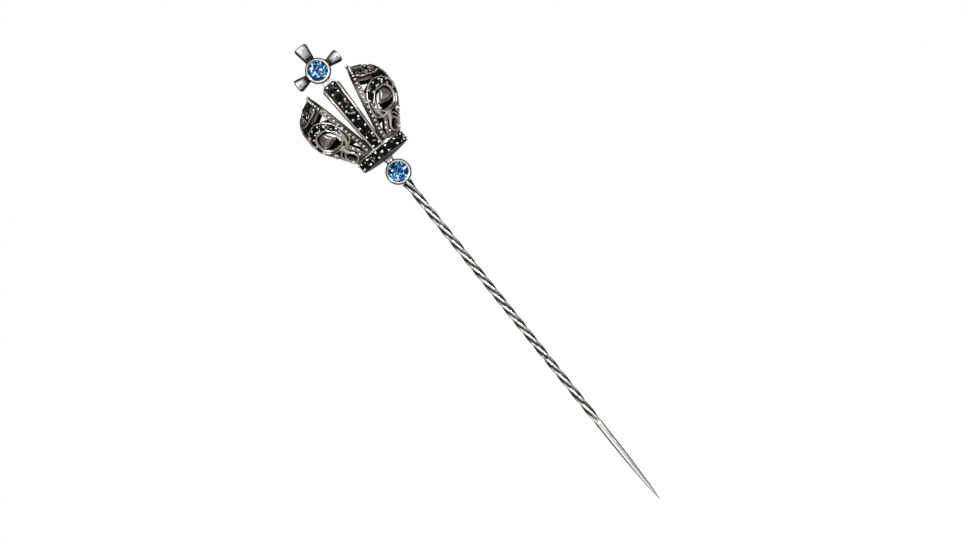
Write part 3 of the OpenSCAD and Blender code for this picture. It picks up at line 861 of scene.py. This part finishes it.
def arch_pieces(steps=90):
    over = [(k, 1) for k in range(steps + 1)] + [(k, -1) for k in range(steps - 1, -1, -1)]
    rings = []
    for k, side in over:
        s = arch.length * k / steps
        flip = Matrix.Diagonal((1, side, 1, 1))
        rings.append([flip @ (arch.point(s, 0, h) + Vector((x, 0, 0))) for x, h in arch_section(s)])
    make_piece(
        "arch_rails", Solid().sweep(rings), oxidised, ["arch_channel"], 40,
        lift_of=lambda p: 3 * (arch.lifts(p) - 0.05),
    )
    for side, mirror in (("front", (1, 1)), ("back", (1, -1))):
        heights = [ARCH_FIRST + ARCH_PITCH * k for k in range(ARCH_COUNT)]
        runs = [arch.length_at(z) for z in heights]
        set_in = [arch.frame(s, 0, -GIRDLE_DEPTH) for s in runs]
        name = f"arch_{side}_black_stones"
        stones(name, set_in, BLACK_D, black, [f"arch_{side}_stones"], mirror)
        between = [arch.length_at(z - ARCH_PITCH / 2) for z in heights]
        between.append(arch.length_at(ARCH_LAST_GRAIN))
        beside = [Matrix.Translation((x, 0, 0)) for x in (-0.47, 0.47)]
        held = [arch.frame(s, 0, 0.03) @ shift for s in between for shift in beside]
        grains(f"arch_{side}_bead_grains", held, 0.2, [f"arch_{side}_grains"], mirror)


arch_pieces()


# ---- Lobes ----

CUT_X, CUT_LEAN = 0.75, tan(radians(12.5))
LOBE_WALL, GROUND_TOP = 0.6, -0.26
BEAD_PITCH, BEAD_R, BEAD_INSET = 0.74, 0.22, 0.48
ARCH_GAP = 0.05
KNOB_R, KNOB_X, KNOB_HEIGHT = 0.28, 3.45, 11.28


def edge_azimuth(height, inset):
    """The azimuth of the line that runs beside the cut edge, a given distance in from it."""
    beside_arch = ARCH_FOOT + 0.04 * height + ARCH_GAP + inset
    return seen(max(CUT_X + inset + height * CUT_LEAN, beside_arch), height)[0]


def edge_line(inset, step=0.1):
    """The line beside the cut edge, from the front foot over the tip to the back foot."""
    low, high = 8.0, 11.2
    while high - low > 1e-4:
        z = (low + high) / 2
        low, high = (z, high) if CUT_X + inset + z * CUT_LEAN < dome.radius(z) else (low, z)
    heights = [low * sin(pi / 2 * k / 16) for k in range(17)]
    climb = [(dome.length_at(z), edge_azimuth(z, inset)) for z in heights[:-1]]
    tip = [(dome.length_at(low), 90.0)]
    back = [(s, 180 - a) for s, a in reversed(climb)]
    return through(climb + tip + back, step=step)


# The wall's openings apart from the window, as (azimuth, height) corners.
HOLES = [
    [(28.5, 9.3), (46.0, 8.3), (42.0, 7.7), (27.0, 7.05)],
    [(21.5, 3.7), (25.5, 3.6), (30.5, 3.0), (29.5, 2.6), (24.0, 2.45), (21.5, 2.5)],
    [(22.5, 2.3), (30.5, 2.4), (32.5, 2.2), (32.0, 1.8), (29.0, 1.2), (23.5, 1.1)],
    [(74, 1.2), (84, 1.0), (86, 2.2), (80, 3.1), (74, 2.6)],
    [(69, 7.5), (75, 6.7), (79, 6.4), (81.5, 7.2), (85, 8.1), (76, 8.0)],
    [(90.1, 3.0), (84, 4.1), (81, 5.2), (84, 6.8), (90.1, 7.7)],
    [(67.2, 8.6), (72.0, 8.7), (73.5, 9.3), (69.5, 9.4)],
]


def is_open(azimuth, s, height):
    a = azimuth if azimuth <= 90 else 180 - azimuth
    return in_window(a, s, WINDOW_R + 0.28) or any(inside_polygon(a, height, h) for h in HOLES)


def ground(solid, cell=0.13):
    """The lobe's thin wall, set back from its ribs and open at the holes."""
    s_top = dome.length_at(11.0)
    rows, columns = round(s_top / cell), 150
    kept, corner = set(), {}

    def place(i, j):
        s = s_top * i / rows
        start = edge_azimuth(dome.at(s)[1], 0.12)
        return s, start + (180 - 2 * start) * j / columns

    for i in range(rows):
        for j in range(columns):
            (s0, a0), (s1, a1) = place(i, j), place(i + 1, j + 1)
            s, a = (s0 + s1) / 2, (a0 + a1) / 2
            if not is_open(a, s, dome.at(s)[1]):
                kept.add((i, j))
    points, faces = [], []

    def index(i, j, top):
        key = (i, j, top)
        if key not in corner:
            corner[key] = len(points)
            s, a = place(i, j)
            points.append(dome.point(s, a, GROUND_TOP if top else -LOBE_WALL))
        return corner[key]

    for i, j in kept:
        square = [(i, j), (i, j + 1), (i + 1, j + 1), (i + 1, j)]
        faces.append(tuple(index(*c, True) for c in square))
        faces.append(tuple(index(*c, False) for c in reversed(square)))
        beside = [(i - 1, j), (i, j + 1), (i + 1, j), (i, j - 1)]
        for next_cell, a, b in zip(beside, square, square[1:] + square[:1], strict=True):
            if next_cell not in kept:
                faces.append((index(*a, True), index(*a, False), index(*b, False), index(*b, True)))
    solid.add(points, faces)


def quarter_ribs(solid):
    """What stands on the wall between the front and the side: bars, leaves and side motif."""
    bar = [
        front((3.45, 9.2), (4.0, 8.78), (4.7, 8.5), (5.4, 8.2)),
        front((3.4, 8.6), (3.98, 8.28), (4.6, 7.95), (5.3, 7.75)),
    ]
    patch(solid, bar, -0.36, -0.04, 0.06)
    stem = [
        front((3.2, 2.75), (2.85, 2.2), (2.5, 1.6), (2.25, 1.0), (2.0, 0.2)),
        front((3.9, 2.5), (3.5, 2.0), (3.1, 1.4), (2.75, 0.8), (2.45, 0.2)),
    ]
    patch(solid, stem, -0.45, -0.08, 0.14)
    stem_edge = front((3.2, 2.7), (2.9, 2.2), (2.55, 1.6), (2.25, 1.0), (2.0, 0.4))
    strap = front((3.22, 4.7), (3.12, 3.9), (3.08, 3.1), (3.2, 2.4))
    ribs(solid, [(stem_edge, 0.16, 0.14, -0.35), (strap, 0.42, 0.08, -0.35)])
    panel = [
        front((3.74, 10.85), (4.3, 10.66), (4.9, 10.42)) + [(90, 10.35)],
        front((3.74, 10.24), (4.3, 9.98), (5.0, 9.76)) + [(90, 9.8)],
    ]
    patch(solid, panel, -LOBE_WALL, -0.08, 0.06)
    panel_top = front((3.76, 10.9), (4.3, 10.72), (4.9, 10.48)) + [(90, 10.4)]
    panel_end = front((3.56, 10.9), (3.62, 10.5), (3.6, 10.1))
    side_window = [(90, 2.5), (81.5, 3.9), (78.6, 5.2), (82, 6.9), (90, 8.1)]
    bars = [[(90, 0.2), (90, 1.4), (90, 2.7)], [(90, 8.0), (90, 8.8), (90, 9.8)]]
    frond = [(89, 1.0), (82, 1.5), (75.5, 2.1), (71, 3.0)]
    foot = [(66, 0.3), (71, 0.9), (80, 0.7), (89, 0.5)]
    ribs(solid, [(panel_top, 0.14, 0.1), (panel_end, 0.16, 0.16), (side_window, 0.34, 0.1)])
    ribs(solid, [(bars[0], 0.34, 0.1), (bars[1], 0.34, 0.1), (frond, 0.26, 0.18)])
    ribs(solid, [(foot, 0.24, 0.1)])
    loop(solid, [(70.5 + 6.5 * cos(t), 2.6 + 0.36 * sin(t)) for t in turns_of(8)], 0.2, 0.32)
    ribs(solid, [([(89, 3.2), (88, 4.0), (86.5, 5.0), (88.5, 6.2)], 0.3, 0.05)])


def openwork_lobe():
    solid = Solid()
    ground(solid)
    half = Solid()
    quarter_ribs(half)
    solid.join(half)
    solid.join(half, Matrix.Diagonal((1, -1, 1, 1)))
    rib(solid, edge_line(0.41), 0.78, -0.03, -0.5, crown=0.12)
    rib(solid, edge_line(0.78), 0.12, 0.08, -0.5, crown=0.3)
    solid.ball(Matrix.Translation((KNOB_X, 0, CROWN_Z + KNOB_HEIGHT)), KNOB_R)
    start = edge_azimuth(0.2, 0.1)
    foot = [(start + (180 - 2 * start) * k / 12, 0.2) for k in range(13)]
    rib(solid, on_path(foot), 0.42, 0.04, -LOBE_WALL, crown=0.4)
    return fused(solid, 0.075, 2)


# The setting's outer edge round the window, as (radius, degrees).
HALO_EDGE = [
    (2.05, 265), (2.08, 303), (2.25, 340), (2.8, 5), (3.0, 40), (2.95, 90), (2.78, 130),
    (2.8, 165), (2.82, 190), (2.7, 216), (2.5, 240),
]


def halo_setting():
    """The raised setting: an inner rim, an outer rim and a bed for the stones between."""
    solid = Solid()
    inner = []
    for angle in range(0, 360, 15):
        to_left = 0.2 * max(0.0, -cos(radians(angle)))
        inner.append(round_ring(WINDOW_R + 0.13 + to_left, angle))
    outer = [round_ring(r, angle) for r, angle in HALO_EDGE]
    for knots, width in ((inner, 0.28), (outer, 0.24)):
        rib(solid, through(knots, True), width, 0.3, -0.55, closed=True, crown=0.45)
    lines = [through(knots, True, step=0.05) for knots in (inner, outer)]
    rings = []
    for angle in range(0, 360, 5):
        near, far = (at_angle(line, angle) for line in lines)
        row = [tuple(near[c] + (far[c] - near[c]) * j / 5 for c in range(2)) for j in range(6)]
        bed = [dome.point(*place, -0.04) for place in row]
        rings.append(bed + [dome.point(*place, -0.5) for place in row[::-1]])
    solid.sweep(rings, closed=True)
    flange = [
        front((2.7, 5.0), (2.62, 4.2), (2.72, 3.4), (2.95, 2.8)),
        front((3.1, 4.9), (3.12, 4.2), (3.2, 3.4), (3.4, 2.8)),
    ]
    patch(solid, flange, -0.4, 0.08, 0.06)
    return fused(solid, 0.055, 1)


def at_angle(line, angle):
    """The place on a line nearest to the ray that leaves the window's middle at an angle."""

    def gap(place):
        u, v = local_of(place[1], place[0])
        turn = (degrees(atan2(v, u)) - angle) % 360
        return min(turn, 360 - turn)

    return min(line, key=gap)


HALO_R, HALO_PITCH, HALO_COUNT, HALO_D = 2.2, 1.29, 6, 1.05


def on_halo(run, shift):
    """The (s, azimuth) at a length along the line of small stones, from the side and over."""
    quarter, flat = HALO_R * pi / 2, 2 * WINDOW_HALF
    r = HALO_R + shift
    if run < quarter:
        a = run / HALO_R
        return near_ring(WINDOW_HALF + r * cos(a), r * sin(a))
    if run < quarter + flat:
        return near_ring(WINDOW_HALF + quarter - run, r)
    a = (run - flat) / HALO_R
    return near_ring(-WINDOW_HALF + r * cos(a), r * sin(a))


def halo_places(first, count, lift, shifts=(0.0,)):
    """Frames along the line of small stones, a stone's pitch apart."""
    runs = [HALO_PITCH * (first + k) for k in range(count)]
    return [dome.frame(*on_halo(run, shift), lift) for run in runs for shift in shifts]


def from_ring(*places):
    """The (azimuth, height) of places given as (u, v) from the window's middle."""
    return [(a, dome.at(s)[1]) for s, a in (near_ring(u, v) for u, v in places)]


def window_leaf():
    """A cupped leaf across the window with a bright lower edge, and below it a sheet set deep
    enough to show black: painted shade.
    """
    solid = Solid()
    upper = from_ring((-0.15, 1.5), (0.3, 1.6), (1.0, 1.5), (1.75, 0.9), (2.05, 0.2))
    middle = from_ring((-0.42, 0.5), (0.2, 0.5), (0.9, 0.35), (1.6, 0.1), (2.05, -0.1))
    lower = from_ring(
        (-1.3, -0.4), (-0.8, -0.44), (-0.1, -0.6), (0.87, -0.72), (1.6, -0.55), (2.05, -0.3)
    )
    patch(solid, [upper, middle, lower], -0.5, -0.34, 0.22)
    ribs(solid, [(lower, 0.15, -0.08)])
    # Painted shade: a deep sheet below the leaf that shows black.
    painted_shade_sheet = from_ring((-0.75, -1.3), (-0.3, -1.5), (0.3, -1.62), (1.1, -1.5), (1.75, -0.9))
    patch(solid, [lower, painted_shade_sheet], -0.72, -0.56)
    return fused(solid, 0.05, 2)


def eyelet_collar():
    """The oval collar under the window, and the strap that ties it to the setting."""
    solid = Solid()
    collar = front(
        (3.95, 1.98), (4.3, 1.75), (4.38, 1.35), (4.12, 0.75), (3.75, 0.32),
        (3.35, 0.2), (3.02, 0.5), (2.97, 0.98), (3.25, 1.5), (3.6, 1.86),
    )
    loop(solid, collar, 0.34, 0.32)
    inside = [
        front((4.3, 1.4), (4.05, 0.8), (3.6, 0.3)),
        front((4.0, 1.35), (3.75, 0.85), (3.4, 0.4)),
    ]
    patch(solid, inside, -0.5, -0.05)
    flank = front((4.0, 2.6), (4.5, 2.4), (4.8, 2.0), (4.6, 1.3), (4.1, 0.6))
    ribs(solid, [(flank, 0.34, 0.16, -0.4)])
    strap = [
        [(36, 3.15), (39.5, 2.75), (41, 2.35), (41, 1.9)],
        [(54, 3.05), (49.5, 2.65), (49, 2.4), (53, 2.05)],
    ]
    patch(solid, strap, -0.5, 0.16, 0.1)
    return fused(solid, 0.05, 2)


def upper_scroll():
    """The strap above the setting, and on the panel above it two swirls, a flower and a loop."""
    solid = Solid()
    strap = front(
        (3.6, 9.36), (3.9, 9.0), (4.4, 8.72), (4.95, 8.56), (5.5, 8.33), (6.1, 8.26), (6.45, 8.36)
    )
    rib(solid, on_path(strap), 0.24, 0.32, taper=(0.7, 1.1))
    loop(solid, oval(5.96, 9.06, 0.3, 0.5), 0.2, 0.06)
    solid.ball(on_dome(5.96, 9.06) @ Matrix.Diagonal((1, 0.8, 0.3, 1)), 0.42)
    loop(solid, oval(4.08, 9.66, 0.36, 0.13, -0.45), 0.17, 0.0, -0.4)
    loop(solid, oval(4.55, 9.22, 0.34, 0.13, -0.4), 0.17, 0.02, -0.4)
    loop(solid, oval(5.12, 9.78, 0.22, 0.22), 0.15, 0.04, -0.4)
    solid.ball(on_dome(5.42, 9.76), 0.17)
    for t in turns_of(5):
        solid.ball(on_dome(5.12 + 0.15 * cos(t), 9.03 + 0.15 * sin(t)), 0.12)
    ribs(solid, [(front((4.75, 9.75), (4.85, 9.5), (4.8, 9.2)), 0.2, -0.02, -0.4)])
    return fused(solid, 0.05, 1)


def tip_lifts(points):
    """The lift from the dome's surface, less towards the lobe's tip, so that the tip is darker."""
    return dome.lifts(points) - 0.26 * np.clip((points[:, 2] - CROWN_Z - 8.2) / 2, 0, 1)


def leaf_lifts(points):
    """The leaves lie deep, and are polished all the same."""
    return dome.lifts(points) + 0.26


SIDES = {"right": (1, 1), "left": (-1, 1)}
QUARTERS = {f"{side}_front": mirror for side, mirror in SIDES.items()}
QUARTERS |= {f"{side}_back": (x, -1) for side, (x, _) in SIDES.items()}


def lobes():
    lobe = openwork_lobe()
    pieces = {
        "halo_setting": (halo_setting(), "oxidised_silver", "halo", dome.lifts),
        "window_leaf": (window_leaf(), "polished_silver", "leaf", leaf_lifts),
        "eyelet_collar": (eyelet_collar(), "polished_silver", "eyelet", dome.lifts),
        "scroll_work": (upper_scroll(), "oxidised_silver", "scroll", dome.lifts),
    }
    bead_line = edge_line(BEAD_INSET, BEAD_PITCH)
    beads = [dome.frame(s, a, 0.0) for s, a in bead_line[1:-1]]
    for side, mirror in SIDES.items():
        make_piece(
            f"{side}_openwork", lobe, oxidised, [f"{side}_lobe"], 50, mirror,
            tip_lifts,
        )
        grains(f"{side}_edge_beading", beads, BEAD_R, [f"{side}_edge_beads"], mirror, worn_beads)
    stem = ((34, 1.85), (31, 1.3), (38, 0.7))
    leaf_beads = [dome.frame(dome.length_at(z), a, 0.06) for a, z in stem]
    rim_beads = [dome.frame(*round_ring(2.02, angle), 0.16) for angle in (170, 192)]
    set_in = halo_places(0, HALO_COUNT, 0.3 - GIRDLE_DEPTH)
    held = halo_places(-0.5, HALO_COUNT + 1, 0.2, (-0.32, 0.32))
    for quarter, mirror in QUARTERS.items():
        for name, (mesh, slot, node, lift) in pieces.items():
            replaced = [f"{quarter}_{node}"]
            make_piece(f"{quarter}_{name}", mesh, oxidised, replaced, 50, mirror, lift)
        name, node = f"{quarter}_black_stones", f"{quarter}_halo_stones"
        stones(name, set_in, HALO_D, black, [node], mirror)
        grains(f"{quarter}_halo_grains", held, 0.16, (), mirror)
        grains(f"{quarter}_leaf_beads", leaf_beads, 0.22, (), mirror)
        grains(f"{quarter}_rim_beads", rim_beads, 0.17, (), mirror)


lobes()


# ---- Cross ----


def plate(outline, thick, edge, dome_rise):
    """A plate in the XZ plane with a soft edge and a slightly domed face on both sides."""
    middle = sum(outline, Vector((0, 0))) / len(outline)
    size = min((p - middle).length for p in outline)

    def ring(inset, y):
        keep = 1 - inset / size
        return [Vector((m.x, y, m.y)) for m in (middle + (p - middle) * keep for p in outline)]

    turns = [pi / 2 * k / 5 for k in range(6)]
    levels = [(edge * (1 - cos(a)), thick / 2 - edge * (1 - sin(a))) for a in turns]
    levels += [
        (edge + (size - edge) * f, thick / 2 + dome_rise * sin(pi / 2 * f))
        for f in (0.2, 0.4, 0.6, 0.8)
    ]
    rings = [ring(inset, -y) for inset, y in reversed(levels)]
    rings += [ring(0, y) for y in (0.36 - thick / 2, 0, thick / 2 - 0.36)]
    rings += [ring(inset, y) for inset, y in levels]
    return Solid().sweep(rings)


def arm_outline(root, reach, root_half, end_half):
    """A splayed arm that points up: straight sides and a rounded end."""
    round_from = reach - 0.5
    points = [Vector((-root_half, root))]
    for k in range(25):
        t = pi - pi * k / 24
        x = copysign(abs(cos(t)) ** 0.6, cos(t)) * end_half
        points.append(Vector((x, round_from + (reach - round_from) * abs(sin(t)) ** 0.6)))
    points.append(Vector((root_half, root)))
    smooth = []
    for p, q in zip(points, points[1:] + points[:1], strict=True):
        smooth += [p, (p + q) / 2]
    return smooth


PLATE = 0.98


def plate_painted_edge_shade(points):
    """Below zero in a band along a plate's rolled edges, which paints shade there as a dark
    outline.
    """
    depth = np.maximum(PLATE / 2 - np.abs(points[:, 1]), 0)
    return -np.minimum(depth, np.maximum(0.34 - depth, 0))


def cross():
    reaches = {"top": top_arm_high.z - CROSS_Z, "left": side_arm_high.x, "right": side_arm_high.x}
    turns = {"top": 0, "left": -90, "right": 90}
    middle = Matrix.Translation((0, 0, CROSS_Z))
    for side, reach in reaches.items():
        root_half, end_half = (0.68, 1.0) if side == "top" else (0.58, 0.93)
        arm = plate(arm_outline(BEZEL_R - 0.12, reach, root_half, end_half), PLATE, 0.22, 0.08)
        turned = Solid().join(arm, middle @ Matrix.Rotation(radians(turns[side]), 4, "Y"))
        node = f"cross_{side}_arm"
        name = f"{side}_arm_plate"
        make_piece(name, turned, shade_and_reflection_silver, [node], sharp=60, lift_of=plate_painted_edge_shade)
    foot_top, foot_low = CROSS_Z - BEZEL_R + 0.1, CROWN_Z + ARCH_TOP - 0.25
    left = [(-0.66, foot_top), (-0.68, foot_top - 0.3), (-0.9, foot_low)]
    outline = [Vector(p) for p in left + [(-x, z) for x, z in reversed(left)]]
    foot = plate(outline, PLATE, 0.15, 0.04)
    make_piece("cross_foot_plate", foot, shade_and_reflection_silver, ["cross_foot"], sharp=60, lift_of=plate_painted_edge_shade)


cross()


# ---- Studio ----


def studio_world():
    """White to the camera, and softboxes between dark gaps for the metal to reflect."""
    world = bpy.data.worlds.new("studio")
    bpy.context.scene.world = world
    world.use_nodes = True
    tree = world.node_tree
    tree.nodes.clear()
    direction = add(tree, "TexCoord").outputs["Generated"]
    side, depth, height = add(tree, "SeparateXYZ", Vector=direction).outputs
    towards = maths(tree, "MULTIPLY", depth, -1.0)
    down = maths(tree, "MULTIPLY", height, -1.0)
    slant = maths(tree, "MULTIPLY_ADD", side, -0.45, maths(tree, "MULTIPLY", height, 0.55))
    sheens = [(0.2, (0.26, 0.28, 0.32)), (0.42, (0.62, 0.64, 0.67)), (0.62, (1.2, 1.18, 1.13))]
    sheen = ramp(tree, maths(tree, "ADD", slant, 0.5), sheens)
    facing = ramp(tree, towards, [(0.5, 0.0), (0.66, 1.0)])
    back = ramp(tree, depth, [(0.9, 0.0), (0.98, 0.6)])
    ahead = ramp(tree, towards, [(0.16, 0.0), (0.32, 1.0)])
    sides = ramp(tree, maths(tree, "ABSOLUTE", side), [(0.82, 0.0), (0.9, 1.0)])
    beside = maths(tree, "MULTIPLY", sides, ahead)
    below = ramp(tree, down, [(0.45, 0.0), (0.65, 0.7)])
    boxes = ramp(tree, height, [(0.7, 0.1), (0.88, 0.9)])
    warm, grey, cool = (0.75, 0.72, 0.68), (0.62, 0.6, 0.58), (0.8, 0.8, 0.82)
    for share, colour in ((below, warm), (beside, grey), (facing, sheen), (back, cool)):
        boxes = blend_colours(tree, share, boxes, colour)
    around = add(tree, "Background", Color=boxes)
    backdrop = add(tree, "Background", Color=(1, 1, 1))
    mix = add(tree, "MixShader", Fac=add(tree, "LightPath").outputs["Is Camera Ray"])
    for shown, socket in zip((around, backdrop), mix.inputs[1:], strict=True):
        feed(tree, socket, shown.outputs[0])
    add(tree, "OutputWorld", Surface=mix.outputs[0])


def area_light(name, place, target, size, power):
    light = bpy.data.lights.new(name, "AREA")
    light.shape, light.size, light.energy = "DISK", size, power
    lamp = link(bpy.data.objects.new(name, light))
    lamp.location = place
    lamp.rotation_euler = (target - lamp.location).to_track_quat("-Z", "Y").to_euler()


def camera():
    """Level with the pin and straight in front of it, rolled so that the pin points down-right."""
    roll = radians(38.6)
    right = Vector((cos(roll), 0, -sin(roll)))
    up = Vector((sin(roll), 0, cos(roll)))
    data = bpy.data.cameras.new("camera")
    data.lens, data.sensor_width = 200, 36
    view_width, below_bezel, beside = 0.1338, 0.0182, 0.00059
    target = Vector((beside, 0, BEZEL_Z * MM - below_bezel))
    distance = view_width * data.lens / data.sensor_width
    back = Vector((0, -1, 0))
    place = Matrix((right, up, back)).transposed().to_4x4()
    place.translation = target + back * distance
    data.clip_start, data.clip_end = 0.01, 10
    eye = link(bpy.data.objects.new("camera", data))
    eye.matrix_world = place
    bpy.context.scene.camera = eye
    return target


def floor():
    """A plain pale floor just under the point."""
    material, tree, shader = new_material("pale_floor")
    colour = ramp(tree, noise(tree, 3), [(0.3, 0.9), (0.7, 0.93)])
    plug(tree, shader, Base_Color=colour, Roughness=0.8)
    plug(tree, shader, Emission_Color=(1, 1, 1), Emission_Strength=0.6)
    mesh = bpy.data.meshes.new("floor")
    z, half = (wire_low.z - 1.0) * MM, 1.5
    corners = [(-half, -half, z), (half, -half, z), (half, half, z), (-half, half, z)]
    mesh.from_pydata(corners, [], [(0, 1, 2, 3)])
    mesh.materials.append(material)
    plane = link(bpy.data.objects.new("floor", mesh))
    plane.visible_glossy = False


studio_world()
target = camera()
area_light("key", Vector((-0.25, -0.45, 0.45)), target, 0.12, 3.0)
area_light("fill", Vector((0.4, -0.4, 0.1)), target, 0.12, 1.5)
area_light("rim", Vector((0.1, 0.5, 0.4)), target, 0.2, 0.6)
floor()
bpy.context.scene.view_settings.view_transform = "Standard"
